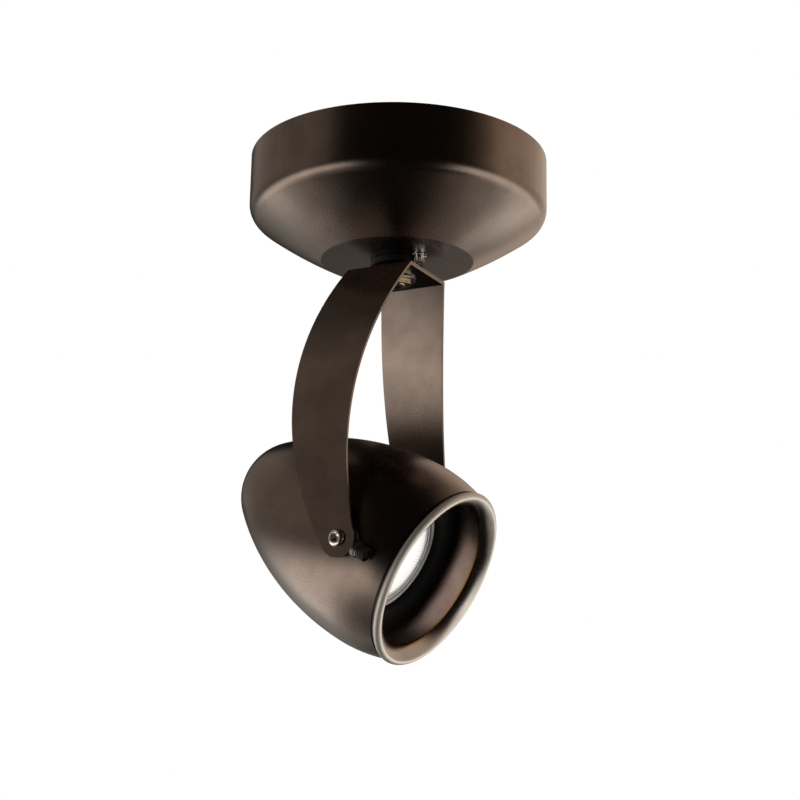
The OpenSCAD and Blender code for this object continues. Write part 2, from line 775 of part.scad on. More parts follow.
module lamp_lens() {
  color("#fffaf0") at_pivot() revolve() band(0, lens_r, lens_s - lens_t, lens_s);
}

// Reflector: a parabola from the lamp's rim down to its neck
module lamp_reflector() {
  steps = 14;
  depth = ledge_s - reflector_apex;
  function parabola(s) = bowl_r * sqrt((s - reflector_apex) / depth);
  outside = [for (i = [0 : steps]) let (s = neck_s + (ledge_s - neck_s) * i / steps) [parabola(s), s]];
  inside = [for (i = [steps : -1 : 0]) outside[i] - [reflector_t, 0]];
  seat_r = lens_r + 0.1;
  rim = [[lamp_r, ledge_s], [lamp_r, lamp_front], [seat_r, lamp_front],
    [seat_r, lens_s - lens_t], [bowl_r - reflector_t, lens_s - lens_t]];
  color("#dfe3e6") at_pivot() revolve() polygon(concat(outside, rim, inside));
}

module lamp_capsule() {
  color("#f4f6f8") at_pivot() {
    along_head(neck_s) cylinder(d = capsule_d, h = capsule_l - capsule_d / 2);
    translate([neck_s + capsule_l - capsule_d / 2, 0, 0]) sphere(d = capsule_d);
  }
}

module lamp_base() {
  color(ceramic) at_pivot() {
    along_head(neck_s - base_neck_l) cylinder(r = base_neck_r, h = base_neck_l);
    translate([lamp_back, -base_d / 2, -base_w / 2])
      cube([neck_s - base_neck_l - lamp_back + 1, base_d, base_w]);
  }
}

module lamp_pins() {
  color(steel) at_pivot() for (side = [-1, 1]) translate([0, 0, side * pin_spacing / 2])
    along_head(lamp_back - pin_l) cylinder(d = pin_d, h = pin_l);
}

module lamp_socket() {
  color(ceramic) at_pivot() difference() {
    translate([socket_back, -socket_d / 2, -socket_w / 2]) cube([socket_l, socket_d, socket_w]);
    for (side = [-1, 1]) {
      translate([0, 0, side * pin_spacing / 2]) along_head(lamp_back - pin_l - 0.5)
        cylinder(d = pin_d + 0.4, h = pin_l + 1);
      translate([0, 0, side * socket_screw_at]) along_head(socket_back - 1)
        cylinder(d = socket_screw_d + 2 * screw_fit, h = 7);
    }
  }
}

module socket_screws() {
  color(steel) at_pivot() for (side = [-1, 1]) translate([socket_back - bracket_t, 0, side * socket_screw_at])
    rotate([0, -90, 0]) screw(socket_screw_d * 1.8, 1.6, socket_screw_d, bracket_t + 5);
}

// Steel strip that holds the socket behind the lamp, with two legs and two feet
module socket_bracket() {
  leg_out = leg_in + bracket_t;
  color(steel) at_pivot() difference() {
    union() {
      translate([socket_back - bracket_t, -bracket_w / 2, -leg_out])
        cube([bracket_t, bracket_w, 2 * leg_out]);
      for (side = [0, 1]) mirror([0, 0, side]) {
        translate([socket_back - bracket_t, -bracket_w / 2, leg_in])
          cube([carrier_back - socket_back + bracket_t, bracket_w, bracket_t]);
        translate([carrier_back - bracket_t, -bracket_w / 2, leg_in])
          cube([bracket_t, bracket_w, bracket_t + foot_l]);
      }
    }
    for (side = [-1, 1]) {
      translate([0, 0, side * socket_screw_at]) along_head(socket_back - bracket_t - 1)
        cylinder(d = socket_screw_d + 2 * screw_fit, h = bracket_t + 2);
      translate([0, 0, side * rivet_at]) along_head(carrier_back - bracket_t - 1)
        cylinder(d = rivet_d + 2 * screw_fit, h = bracket_t + 2);
    }
  }
}

module bracket_rivets() {
  color(black) at_pivot() for (side = [-1, 1]) translate([0, 0, side * rivet_at])
    along_head(carrier_back - bracket_t - 1) {
      cylinder(d = rivet_d, h = bracket_t + carrier_t + 1);
      cylinder(d = rivet_d + 2, h = 1);
    }
}

// Rubber grommet in the cord inlet, with a flange on each side of the wall
module cord_grommet() {
  color(black) at_pivot() difference() {
    union() {
      along_head(inlet_out_s - grommet_flange) cylinder(r = inlet_r + 1.5, h = grommet_flange);
      along_head(inlet_out_s - 1) cylinder(r = inlet_r - screw_fit, h = inlet_in_s - inlet_out_s + 2);
      along_head(inlet_in_s) cylinder(r = inlet_inner_r, h = grommet_flange);
    }
    along_head(inlet_out_s - grommet_flange - 1)
      cylinder(d = grommet_bore, h = inlet_in_s - inlet_out_s + 2 * grommet_flange + 2);
  }
}

module pivot_screws() {
  head_under = arm_outer + face_gap / 2;
  color(steel) at_pivot() both_pivots() {
    translate([0, 0, head_under]) screw(pivot_head_d, pivot_head_h, shoulder_d, head_under - boss_face);
    translate([0, 0, boss_face - pivot_thread_l]) cylinder(d = pivot_thread_d, h = pivot_thread_l + 0.5);
  }
}

module pivot_washers() {
  color("#d8d6cf") at_pivot() both_pivots() translate([0, 0, boss_face])
    ring(pivot_washer_d / 2, shoulder_d / 2 + screw_fit, pivot_washer_t);
}

// Lug on the near side of the shell that carries the tilt lock screw in line with the arm
module tilt_lock_lug() {
  color(steel) at_pivot() difference() {
    union() {
      translate([lock_back, lock_y, 0]) rotate([0, 90, 0]) cylinder(d = lock_lug_d, h = lock_lug_l);
      translate([lock_back, lock_y, -lock_foot_w / 2]) cube([lock_lug_l, lock_foot_y - lock_y, lock_foot_w]);
    }
    translate([lock_back - 1, lock_y, 0]) rotate([0, 90, 0])
      cylinder(d = lock_thread_d + 2 * run_fit, h = lock_lug_l + 2);
  }
}

module tilt_lock_screw() {
  head_s = lock_back + lock_lug_l + face_gap;
  color(black) at_pivot() translate([head_s, lock_y, 0]) rotate([0, 90, 0])
    screw(lock_head_d, lock_head_h, lock_thread_d, head_s - lock_tip);
}

canopy_shell();
ceiling_plate();
plate_nuts();
canopy_screws();
ground_screw();
transformer();
transformer_shelf();
transformer_screws();
terminal_block();
terminal_screws();
swivel_stem();
stem_lock_washer();
stem_lock_nut();
hub_collar();
thrust_washer();
spring_washer();
swivel_nut();
stem_bushing();
stop_screw();
yoke_strap();
stop_stud();
head_shell();
bezel_ring();
baffle_tube();
lamp_carrier();
carrier_screws();
lamp_clip_ring();
lamp_lens();
lamp_reflector();
lamp_capsule();
lamp_base();
lamp_pins();
lamp_socket();
socket_screws();
socket_bracket();
bracket_rivets();
cord_grommet();
pivot_screws();
pivot_washers();
tilt_lock_lug();
tilt_lock_screw();
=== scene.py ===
# Adjustable ceiling spot: round canopy, bent two-arm yoke and bullet head in oil-rubbed bronze
# Metres, Z up, the ceiling is z = 0 and the canopy's axis is Z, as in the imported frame
import json
import math

import bmesh
import bpy
from mathutils import Matrix, Vector

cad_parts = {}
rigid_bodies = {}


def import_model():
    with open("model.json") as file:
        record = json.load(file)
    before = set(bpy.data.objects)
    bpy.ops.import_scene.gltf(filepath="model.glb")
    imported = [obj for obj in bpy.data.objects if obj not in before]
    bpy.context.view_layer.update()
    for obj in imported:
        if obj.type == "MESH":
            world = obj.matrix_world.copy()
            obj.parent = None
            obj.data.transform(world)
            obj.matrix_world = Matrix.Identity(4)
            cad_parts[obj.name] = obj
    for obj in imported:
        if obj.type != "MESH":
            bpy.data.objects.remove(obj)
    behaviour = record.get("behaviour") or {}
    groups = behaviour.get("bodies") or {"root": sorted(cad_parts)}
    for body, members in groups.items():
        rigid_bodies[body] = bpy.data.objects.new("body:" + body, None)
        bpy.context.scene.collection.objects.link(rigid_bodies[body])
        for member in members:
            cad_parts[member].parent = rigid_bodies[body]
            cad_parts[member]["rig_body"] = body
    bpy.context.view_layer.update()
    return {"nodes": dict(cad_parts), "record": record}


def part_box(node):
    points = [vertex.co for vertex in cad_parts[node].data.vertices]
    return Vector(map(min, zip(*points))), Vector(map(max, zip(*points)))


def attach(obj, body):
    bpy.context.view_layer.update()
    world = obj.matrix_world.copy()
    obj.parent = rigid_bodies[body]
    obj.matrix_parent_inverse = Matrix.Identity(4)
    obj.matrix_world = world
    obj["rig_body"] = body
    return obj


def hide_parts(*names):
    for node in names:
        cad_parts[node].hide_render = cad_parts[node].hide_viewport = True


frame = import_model()
nodes = frame["nodes"]

MM = 0.001
PIVOT = Vector((0, 0, -185.8 * MM))
HEAD_TILT = math.radians(29.2)
TILTED = Matrix.Translation(PIVOT) @ Matrix.Rotation(HEAD_TILT, 4, "Y")
HEAD = TILTED @ Matrix.Rotation(math.radians(90), 4, "Y")

# Places on the head, in mm: S is ahead of the pivot along the head's axis, R is out from that axis, Y is
# the head's own and H is a height
LENS_S = 3.0
LENS_R = 23.3
LENS_RAYS = 90
LIP_R = (34.6, 35.1)
GROOVE_R = (38.0, 38.5)
GROOVE_S = (24.9, 25.3)
CREST_R = (39.6, 40.8)
LOCK_S = 11.8
LOCK_Y = -48.55
LOCK_H = 3.2

# Camera, where the photograph was taken from
FOCAL_LENGTH = 66.95
SENSOR_WIDTH = 36
CAMERA_AT = Vector((311.2, -586.8, -273.9))
CAMERA_TURN = math.radians(27.72)
CAMERA_RISE = math.radians(90 + 13.42)
CAMERA_ROLL = math.radians(1.05)
camera_data = bpy.data.cameras.new("camera")
camera_data.lens = FOCAL_LENGTH
camera_data.sensor_width = SENSOR_WIDTH
camera = bpy.data.objects.new("camera", camera_data)
bpy.context.scene.collection.objects.link(camera)
camera.matrix_world = (
    Matrix.Translation(CAMERA_AT * MM)
    @ Matrix.Rotation(CAMERA_TURN, 4, "Z")
    @ Matrix.Rotation(CAMERA_RISE, 4, "X")
    @ Matrix.Rotation(CAMERA_ROLL, 4, "Z")
)
bpy.context.scene.camera = camera
bpy.context.scene.view_settings.view_transform = "Standard"


def linear(code):
    """sRGB hex colour as linear RGBA."""
    parts = [int(code[i : i + 2], 16) / 255 for i in (1, 3, 5)]
    return tuple(c / 12.92 if c <= 0.04045 else ((c + 0.055) / 1.055) ** 2.4 for c in parts) + (1.0,)


def add(tree, kind, inputs=None, **settings):
    """Adds a node to a tree. An input takes a value, or the socket that feeds it."""
    made = tree.nodes.new(kind)
    for name, value in settings.items():
        setattr(made, name, value)
    for name, value in (inputs or {}).items():
        if isinstance(value, bpy.types.NodeSocket):
            tree.links.new(value, made.inputs[name])
        else:
            made.inputs[name].default_value = value
    return made


def per_mm(size):
    """Noise scale whose features are about this many millimetres across."""
    return 1 / (size * MM)


def start(name):
    """New material with its shader and a source of Object coordinates."""
    mat = bpy.data.materials.new(name)
    mat.use_nodes = True
    tree = mat.node_tree
    tree.nodes.clear()
    shader = add(tree, "ShaderNodeBsdfPrincipled")
    add(tree, "ShaderNodeOutputMaterial", {"Surface": shader.outputs["BSDF"]})
    return mat, tree, shader, add(tree, "ShaderNodeTexCoord").outputs["Object"]


def surface(name, light, dark, mottle, rough, grain, bump, metallic=1.0, **sockets):
    """Finish with two tones in soft patches, a roughness between two values and a fine grain.
    The patches, the grain and its relief are in mm."""
    mat, tree, shader, place = start(name)
    patches = add(tree, "ShaderNodeTexNoise", {"Vector": place, "Scale": per_mm(mottle), "Detail": 4.0})
    tone = add(tree, "ShaderNodeValToRGB", {"Fac": patches.outputs["Fac"]})
    tone.color_ramp.elements[0].position = 0.35
    tone.color_ramp.elements[0].color = linear(dark)
    tone.color_ramp.elements[1].position = 0.65
    tone.color_ramp.elements[1].color = linear(light)
    tree.links.new(tone.outputs["Color"], shader.inputs["Base Color"])
    fine = add(tree, "ShaderNodeTexNoise", {"Vector": place, "Scale": per_mm(grain), "Detail": 3.0})
    sheen = add(tree, "ShaderNodeMapRange",
                {"Value": fine.outputs["Fac"], "From Min": 0.3, "From Max": 0.7,
                 "To Min": rough[0], "To Max": rough[1]})
    tree.links.new(sheen.outputs["Result"], shader.inputs["Roughness"])
    relief = add(tree, "ShaderNodeBump",
                 {"Height": fine.outputs["Fac"], "Strength": 1.0, "Distance": bump * MM})
    tree.links.new(relief.outputs["Normal"], shader.inputs["Normal"])
    shader.inputs["Metallic"].default_value = metallic
    for socket, value in sockets.items():
        shader.inputs[socket.replace("_", " ")].default_value = value
    return mat


# Oil-rubbed bronze lacquer, sprayed on spun and bent steel: dark brown metal flake under a satin clear coat
bronze_paint = surface("oil_rubbed_bronze_lacquer", "#6d6057", "#5f534b", 16, (0.23, 0.29), 0.45, 0.004,
                       Coat_Weight=0.35, Coat_Roughness=0.3)


def from_head_axis(tree, place):
    """Object coordinates turned level with the head's axis, and the distance from that axis."""
    centred = add(tree, "ShaderNodeMapping", {"Vector": place, "Location": -PIVOT})
    level = add(tree, "ShaderNodeMapping", {"Vector": centred.outputs["Vector"],
                                            "Rotation": (0.0, -HEAD_TILT - math.radians(90), 0.0)})
    flat = add(tree, "ShaderNodeVectorMath", {0: level.outputs["Vector"], 1: (1.0, 1.0, 0.0)},
               operation="MULTIPLY")
    out = add(tree, "ShaderNodeVectorMath", {0: flat.outputs["Vector"]}, operation="LENGTH")
    return level.outputs["Vector"], out.outputs["Value"]


def ring_lacquer_painted_light():
    """The bezel's lacquer: painted shade, dark in the groove behind it; a painted highlight, paler on its
    crest, which is also dull; and amber at its lip."""
    mat = surface("bronze_lacquer_painted_shade_and_highlight", "#99958f", "#8b8781", 14, (0.22, 0.28), 0.4, 0.003,
                  Coat_Weight=0.3, Coat_Roughness=0.2)
    # Colours of painted shade in the groove, of a painted highlight on the crest, and amber for the lip
    groove_painted_shade, crest_painted_highlight, on_lip = linear("#1c1611"), linear("#b2aea6"), linear("#8c6536")
    crest_roughness, crest_metal = 0.58, 0.86
    tree = mat.node_tree
    shader = next(n for n in tree.nodes if n.type == "BSDF_PRINCIPLED")
    rubbed = shader.inputs["Base Color"].links[0].from_socket
    place = next(n for n in tree.nodes if n.type == "TEX_COORD").outputs["Object"]
    level, out = from_head_axis(tree, place)
    along = add(tree, "ShaderNodeSeparateXYZ", {"Vector": level}).outputs["Z"]
    # The crest: dull, and painted paler as a painted highlight
    crest = add(tree, "ShaderNodeMapRange",
                {"Value": out, "From Min": CREST_R[0] * MM, "From Max": CREST_R[1] * MM}).outputs["Result"]
    # The groove behind the ring, painted dark as painted shade
    outside = add(tree, "ShaderNodeMapRange",
                  {"Value": out, "From Min": GROOVE_R[0] * MM, "From Max": GROOVE_R[1] * MM})
    behind = add(tree, "ShaderNodeMapRange",
                 {"Value": along, "From Min": GROOVE_S[0] * MM, "From Max": GROOVE_S[1] * MM,
                  "To Min": 1.0, "To Max": 0.0})
    groove = add(tree, "ShaderNodeMath", {0: outside.outputs["Result"], 1: behind.outputs["Result"]},
                 operation="MULTIPLY").outputs["Value"]
    lip = add(tree, "ShaderNodeMapRange",
              {"Value": out, "From Min": LIP_R[0] * MM, "From Max": LIP_R[1] * MM,
               "To Min": 1.0, "To Max": 0.0}).outputs["Result"]
    sheen = shader.inputs["Roughness"].links[0].from_socket
    scuffed = add(tree, "ShaderNodeMix", {"Factor": crest, "A": sheen, "B": crest_roughness},
                  data_type="FLOAT")
    tree.links.new(scuffed.outputs[0], shader.inputs["Roughness"])
    bare = add(tree, "ShaderNodeMapRange", {"Value": crest, "To Min": 1.0, "To Max": crest_metal})
    tree.links.new(bare.outputs["Result"], shader.inputs["Metallic"])
    colour = rubbed
    # Painted highlight on the crest, painted shade in the groove and amber at the lip, laid over the
    # lacquer's tone
    for where, tone in ((crest, crest_painted_highlight), (groove, groove_painted_shade), (lip, on_lip)):
        mixed = add(tree, "ShaderNodeMix", {"Factor": where, "A": colour, "B": tone}, data_type="RGBA")
        colour = mixed.outputs[2]
    tree.links.new(colour, shader.inputs["Base Color"])
    return mat


# Same lacquer over a polished ring: paler and silkier, dull only on its crest, which carries a painted
# highlight, with painted shade in the groove behind it
bronze_satin = ring_lacquer_painted_light()
# Bronze lacquer inside the mouth, sprayed thin over turned aluminium, so it is pinker
bronze_inner = surface("thin_bronze_lacquer", "#98837a", "#887269", 10, (0.26, 0.34), 0.4, 0.004)
# Black e-coat on turned or pressed steel: satin, faint orange peel
black_metal = surface("black_e_coat", "#0f0e0e", "#090808", 8, (0.46, 0.58), 0.5, 0.006, metallic=0.0,
                      Specular_IOR_Level=0.3)
# Moulded black nylon: matte, spark-eroded grain
black_plastic = surface("black_moulded_nylon", "#191919", "#121212", 12, (0.5, 0.62), 0.35, 0.02,
                        metallic=0.0)
# Moulded EPDM rubber: matte with a dusty bloom
black_rubber = surface("black_epdm_rubber", "#222120", "#151515", 5, (0.68, 0.82), 0.3, 0.015,
                       metallic=0.0)
# Steatite ceramic, fired and unglazed: off-white, faintly speckled
white_ceramic = surface("steatite_ceramic", "#ece7da", "#ddd6c6", 1.2, (0.48, 0.6), 0.25, 0.012,
                        metallic=0.0)
# Brass, turned and passivated: yellow, with dull patches
brass = surface("passivated_brass", "#d8c8a6", "#b3a17b", 2.5, (0.26, 0.36), 0.25, 0.004)
# Zinc-plated steel: bluish grey with cloudy crystals
zinc_steel = surface("zinc_plated_steel", "#c3c6c9", "#a4a8ac", 3, (0.3, 0.44), 0.4, 0.005)
# Bright nickel plate on small hardware: nearly a mirror
bright_steel = surface("bright_nickel_plate", "#d4d1cc", "#bdb9b3", 2, (0.12, 0.2), 0.3, 0.002)
# Tumbled steel of the tilt lock's lug: grey, dulled by the barrel
tumbled_steel = surface("tumbled_steel", "#5e5f5c", "#434441", 1.2, (0.3, 0.42), 0.3, 0.01)
# Matte black anodised cup round the lamp, which swallows stray light
matte_anodise = surface("matte_black_anodise", "#080707", "#040404", 6, (0.6, 0.7), 0.3, 0.006, metallic=0.0,
                        Specular_IOR_Level=0.12)
# Spun aluminium of the clip ring, etched to a soft silver sheen
spun_aluminium = surface("etched_aluminium", "#e4e4e6", "#d0d0d3", 2, (0.4, 0.5), 0.3, 0.003)
# Green lacquer on the ground screw
green_steel = surface("green_lacquered_steel", "#2f7d42", "#256a36", 2, (0.3, 0.4), 0.3, 0.004,
                      metallic=0.35)
# Natural nylon 6: milky, faintly translucent
nylon = surface("natural_nylon", "#d9d6cb", "#cbc7ba", 4, (0.42, 0.52), 0.4, 0.006, metallic=0.0,
                Subsurface_Weight=0.15)
# Aluminium and dichroic coat inside the lamp
mirror_coat = surface("aluminised_glass", "#e4e7ea", "#d3d7db", 5, (0.08, 0.14), 0.5, 0.002)


def lit_glass():
    """Pressed front glass of the lamp, lit from behind: white, with grey rays towards its rim."""
    mat, tree, shader, place = start("lit_pressed_glass")
    level, out = from_head_axis(tree, place)
    turn = add(tree, "ShaderNodeTexGradient", {"Vector": level}, gradient_type="RADIAL")
    rays = add(tree, "ShaderNodeMath", {0: turn.outputs["Fac"], 1: float(LENS_RAYS)},
               operation="MULTIPLY")
    wave = add(tree, "ShaderNodeMath", {0: rays.outputs["Value"]}, operation="FRACT")
    depth = add(tree, "ShaderNodeMapRange",
                {"Value": out, "From Min": 10 * MM, "From Max": 19 * MM, "To Min": 1.0, "To Max": 0.5})
    valley = add(tree, "ShaderNodeMapRange",
                 {"Value": wave.outputs["Value"], "From Max": 0.4,
                  "To Min": depth.outputs["Result"], "To Max": 1.0})
    across = add(tree, "ShaderNodeMapRange", {"Value": out, "From Max": LENS_R * MM})
    rings = add(tree, "ShaderNodeValToRGB", {"Fac": across.outputs["Result"]})
    ramp = rings.color_ramp
    # Bright glass out to the pressed rim, then the rim's dark and pale rings
    for position, glow in ((0.0, 0.95), (0.7, 0.95), (0.86, 0.85), (0.9, 0.25), (0.93, 0.38), (1.0, 0.2)):
        stop = ramp.elements.new(position)
        stop.color = (glow, glow, glow, 1.0)
    ramp.elements.remove(ramp.elements[0])
    ramp.elements.remove(ramp.elements[len(ramp.elements) - 1])
    shine = add(tree, "ShaderNodeMath", {0: rings.outputs["Color"], 1: valley.outputs["Result"]},
                operation="MULTIPLY")
    tree.links.new(shine.outputs["Value"], shader.inputs["Emission Strength"])
    shader.inputs["Emission Color"].default_value = linear("#fefcf8")
    shader.inputs["Base Color"].default_value = linear("#85827f")
    shader.inputs["Roughness"].default_value = 0.12
    return mat


lit_lens = lit_glass()


def clear_quartz():
    """Fused quartz bulb: clear, with faintly frosted patches from its sealing."""
    mat, tree, shader, place = start("fused_quartz")
    frost = add(tree, "ShaderNodeTexNoise", {"Vector": place, "Scale": per_mm(3)})
    rough = add(tree, "ShaderNodeMapRange",
                {"Value": frost.outputs["Fac"], "To Min": 0.02, "To Max": 0.25})
    tree.links.new(rough.outputs["Result"], shader.inputs["Roughness"])
    shader.inputs["Transmission Weight"].default_value = 1.0
    shader.inputs["IOR"].default_value = 1.46
    return mat


quartz = clear_quartz()

FINISHES = {
    "bronze_paint": bronze_paint, "bronze_satin": bronze_satin, "bronze_inner": bronze_inner,
    "black_metal": black_metal, "black_plastic": black_plastic, "black_rubber": black_rubber,
    "white_ceramic": white_ceramic, "brass": brass, "zinc_steel": zinc_steel, "bright_steel": bright_steel,
    "green_steel": green_steel, "nylon": nylon, "mirror_coat": mirror_coat, "lit_glass": lit_lens,
    "quartz": quartz,
}
# Finishes of single nodes, in place of their slot's
OWN_FINISHES = {
    "lamp_carrier": matte_anodise, "tilt_lock_lug": tumbled_steel, "lamp_clip_ring": spun_aluminium,
}
SLOTS = {part["node"]: part["material_slot"] for part in frame["record"]["subparts"]}
for node, slot_name in SLOTS.items():
    for slot in nodes[node].material_slots:
        slot.material = OWN_FINISHES.get(node, FINISHES[slot_name])


def finish_mesh(name, mesh, body, material, crease=35):
    """Makes a piece of a mesh that is already in place: smooth, with sharp corners, on a body."""
    mesh.materials.clear()
    mesh.materials.append(material)
    mesh.polygons.foreach_set("use_smooth", [True] * len(mesh.polygons))
    mesh.set_sharp_from_angle(angle=math.radians(crease))
    made = bpy.data.objects.new(name, mesh)
    bpy.context.scene.collection.objects.link(made)
    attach(made, body)
    return made


def hex_radius(flats, turn):
    """Distance from the centre to a hexagon's edge, given the width across its flats."""
    return flats / 2 / math.cos((turn + math.pi / 6) % (math.pi / 3) - math.pi / 6)


def turned(profile, segments=48, closed=False):
    """Mesh turned about Z from points of (radius, z) in mm; a third entry 'hex' makes the ring hexagonal.
    A closed profile is a ring's section, an open one runs from pole to pole."""
    shape = bmesh.new()
    rings = []
    for radius, height, *form in profile:
        if radius == 0:
            rings.append([shape.verts.new((0, 0, height * MM))])
            continue
        ring_points = []
        for i in range(segments):
            turn = 2 * math.pi * i / segments
            r = hex_radius(2 * radius, turn) if form else radius
            point = (r * MM * math.cos(turn), r * MM * math.sin(turn), height * MM)
            ring_points.append(shape.verts.new(point))
        rings.append(ring_points)
    pairs = list(zip(rings, rings[1:] + rings[:1])) if closed else list(zip(rings, rings[1:]))
    for low, high in pairs:
        for i in range(segments):
            j = (i + 1) % segments
            corners = [low[i % len(low)], low[j % len(low)], high[j % len(high)], high[i % len(high)]]
            shape.faces.new(list(dict.fromkeys(corners)))
    bmesh.ops.recalc_face_normals(shape, faces=shape.faces)
    mesh = bpy.data.meshes.new("turned")
    shape.to_mesh(mesh)
    shape.free()
    return mesh


def put_together(meshes):
    """One mesh from several, each left as it is."""
    shape = bmesh.new()
    for mesh in meshes:
        shape.from_mesh(mesh)
        bpy.data.meshes.remove(mesh)
    joined = bpy.data.meshes.new("joined")
    shape.to_mesh(joined)
    shape.free()
    return joined


def placed(mesh, matrix):
    """The mesh moved to its place."""
    mesh.transform(matrix)
    return mesh


# Vertices closer than this in mm are one, and faces that meet flatter than this in degrees are one
SAME_SPOT = 0.002
SAME_FACE = 0.4


def eased(node, width, crease=30, segments=2):
    """Stands for a CAD node with its edges eased, as lacquer and tumbling leave them."""
    shape = bmesh.new()
    shape.from_mesh(nodes[node].data)
    bmesh.ops.remove_doubles(shape, verts=shape.verts, dist=SAME_SPOT * MM)
    bmesh.ops.dissolve_limit(shape, angle_limit=math.radians(SAME_FACE), verts=shape.verts,
                             edges=shape.edges)
    mesh = bpy.data.meshes.new(node + "_eased")
    shape.to_mesh(mesh)
    shape.free()
    for layer in ("custom_normal", "sharp_edge", "sharp_face"):
        if layer in mesh.attributes:
            mesh.attributes.remove(mesh.attributes[layer])
    material = OWN_FINISHES.get(node, FINISHES[SLOTS[node]])
    made = finish_mesh(node + "_eased", mesh, nodes[node]["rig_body"], material, crease)
    bevel = made.modifiers.new("eased edges", "BEVEL")
    bevel.width = width * MM
    bevel.segments = segments
    bevel.limit_method = "ANGLE"
    bevel.angle_limit = math.radians(crease)
    bevel.harden_normals = True
    bevel.use_clamp_overlap = True
    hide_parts(node)


# Geometry Nodes for what repeats
def new_tree(name, **sizes):
    """Empty geometry tree with named inputs, each with its type and its usual value."""
    tree = bpy.data.node_groups.new(name, "GeometryNodeTree")
    tree.interface.new_socket("Geometry", in_out="OUTPUT", socket_type="NodeSocketGeometry")
    for label, (kind, value) in sizes.items():
        socket = tree.interface.new_socket(label, in_out="INPUT", socket_type="NodeSocket" + kind)
        socket.default_value = value
    given = add(tree, "NodeGroupInput").outputs
    return tree, given


def close_tree(tree, geometry, material):
    """Ends a tree: copies made real, and the finish set."""
    real = add(tree, "GeometryNodeRealizeInstances", {"Geometry": geometry})
    dressed = add(tree, "GeometryNodeSetMaterial",
                  {"Geometry": real.outputs["Geometry"], "Material": material})
    add(tree, "NodeGroupOutput", {"Geometry": dressed.outputs["Geometry"]})


def rib_ring_tree(material):
    """Tapered round ribs in a ring about Z: upright at a Lean of 0, radial at a right angle."""
    tree, given = new_tree("rib_ring", Count=("Int", 24), Ring=("Float", 0.003), Root=("Float", 0.0003),
                           Tip=("Float", 0.0003), Length=("Float", 0.003), Lean=("Float", 0.0))
    circle = add(tree, "GeometryNodeMeshCircle", {"Vertices": given["Count"], "Radius": given["Ring"]})
    rib = add(tree, "GeometryNodeMeshCone",
              {"Vertices": 8, "Radius Top": given["Tip"], "Radius Bottom": given["Root"],
               "Depth": given["Length"]})
    where = add(tree, "GeometryNodeInputPosition").outputs["Position"]
    parts = add(tree, "ShaderNodeSeparateXYZ", {"Vector": where})
    turn = add(tree, "ShaderNodeMath", {0: parts.outputs["Y"], 1: parts.outputs["X"]}, operation="ARCTAN2")
    lie = add(tree, "ShaderNodeCombineXYZ", {"Y": given["Lean"], "Z": turn.outputs["Value"]})
    copies = add(tree, "GeometryNodeInstanceOnPoints",
                 {"Points": circle.outputs["Mesh"], "Instance": rib.outputs["Mesh"],
                  "Rotation": lie.outputs["Vector"]})
    close_tree(tree, copies.outputs["Instances"], material)
    return tree


def thread_tree(material):
    """Screw thread: a small round section run along a helix about Z."""
    tree, given = new_tree("screw_thread", Turns=("Float", 6.0), Radius=("Float", 0.002),
                           Height=("Float", 0.005), Ridge=("Float", 0.0002))
    helix = add(tree, "GeometryNodeCurveSpiral",
                {"Resolution": 24, "Rotations": given["Turns"], "Start Radius": given["Radius"],
                 "End Radius": given["Radius"], "Height": given["Height"]})
    section = add(tree, "GeometryNodeCurvePrimitiveCircle", {"Resolution": 6, "Radius": given["Ridge"]})
    ridge = add(tree, "GeometryNodeCurveToMesh",
                {"Curve": helix.outputs["Curve"], "Profile Curve": section.outputs["Curve"],
                 "Fill Caps": True})
    close_tree(tree, ridge.outputs["Mesh"], material)
    return tree


def rib_row_tree(material):
    """Row of upright ribs along X, as moulded on a case."""
    tree, given = new_tree("rib_row", Count=("Int", 12), Pitch=("Float", 0.004),
                           Size=("Vector", (0.0012, 0.02, 0.02)))
    step = add(tree, "ShaderNodeCombineXYZ", {"X": given["Pitch"]})
    row = add(tree, "GeometryNodeMeshLine", {"Count": given["Count"], "Offset": step.outputs["Vector"]})
    rib = add(tree, "GeometryNodeMeshCube", {"Size": given["Size"]})
    copies = add(tree, "GeometryNodeInstanceOnPoints",
                 {"Points": row.outputs["Mesh"], "Instance": rib.outputs["Mesh"]})
    close_tree(tree, copies.outputs["Instances"], material)
    return tree


def grown(tree, matrix, **sizes):
    """Plain mesh of a tree's result at the given sizes, moved to its place."""
    holder = bpy.data.objects.new("holder", bpy.data.meshes.new("holder"))
    bpy.context.scene.collection.objects.link(holder)
    modifier = holder.modifiers.new("tree", "NODES")
    modifier.node_group = tree
    for socket in tree.interface.items_tree:
        if socket.in_out == "INPUT" and socket.name in sizes:
            modifier[socket.identifier] = sizes[socket.name]
    graph = bpy.context.evaluated_depsgraph_get()
    mesh = bpy.data.meshes.new_from_object(holder.evaluated_get(graph), depsgraph=graph)
    holder.modifiers.clear()
    bpy.data.objects.remove(holder)
    return placed(mesh, matrix)


def on_head(s, y=0.0):
    """Place on the head's own frame: Z runs along the head's axis, s mm ahead of the pivot."""
    return HEAD @ Matrix.Translation(Vector((0, y, s)) * MM)


def at(x, y, z, flip=False):
    """Place in the frame of the whole light, in mm, with Z turned down where flip is set."""
    return Matrix.Translation(Vector((x, y, z)) * MM) @ Matrix.Rotation(math.pi if flip else 0, 4, "X")


steel_ribs = rib_ring_tree(bright_steel)
black_ribs = rib_ring_tree(black_metal)
lens_ribs = rib_ring_tree(lit_lens)
brass_thread = thread_tree(brass)
steel_thread = thread_tree(bright_steel)
black_thread = thread_tree(black_metal)
case_ribs = rib_row_tree(black_plastic)

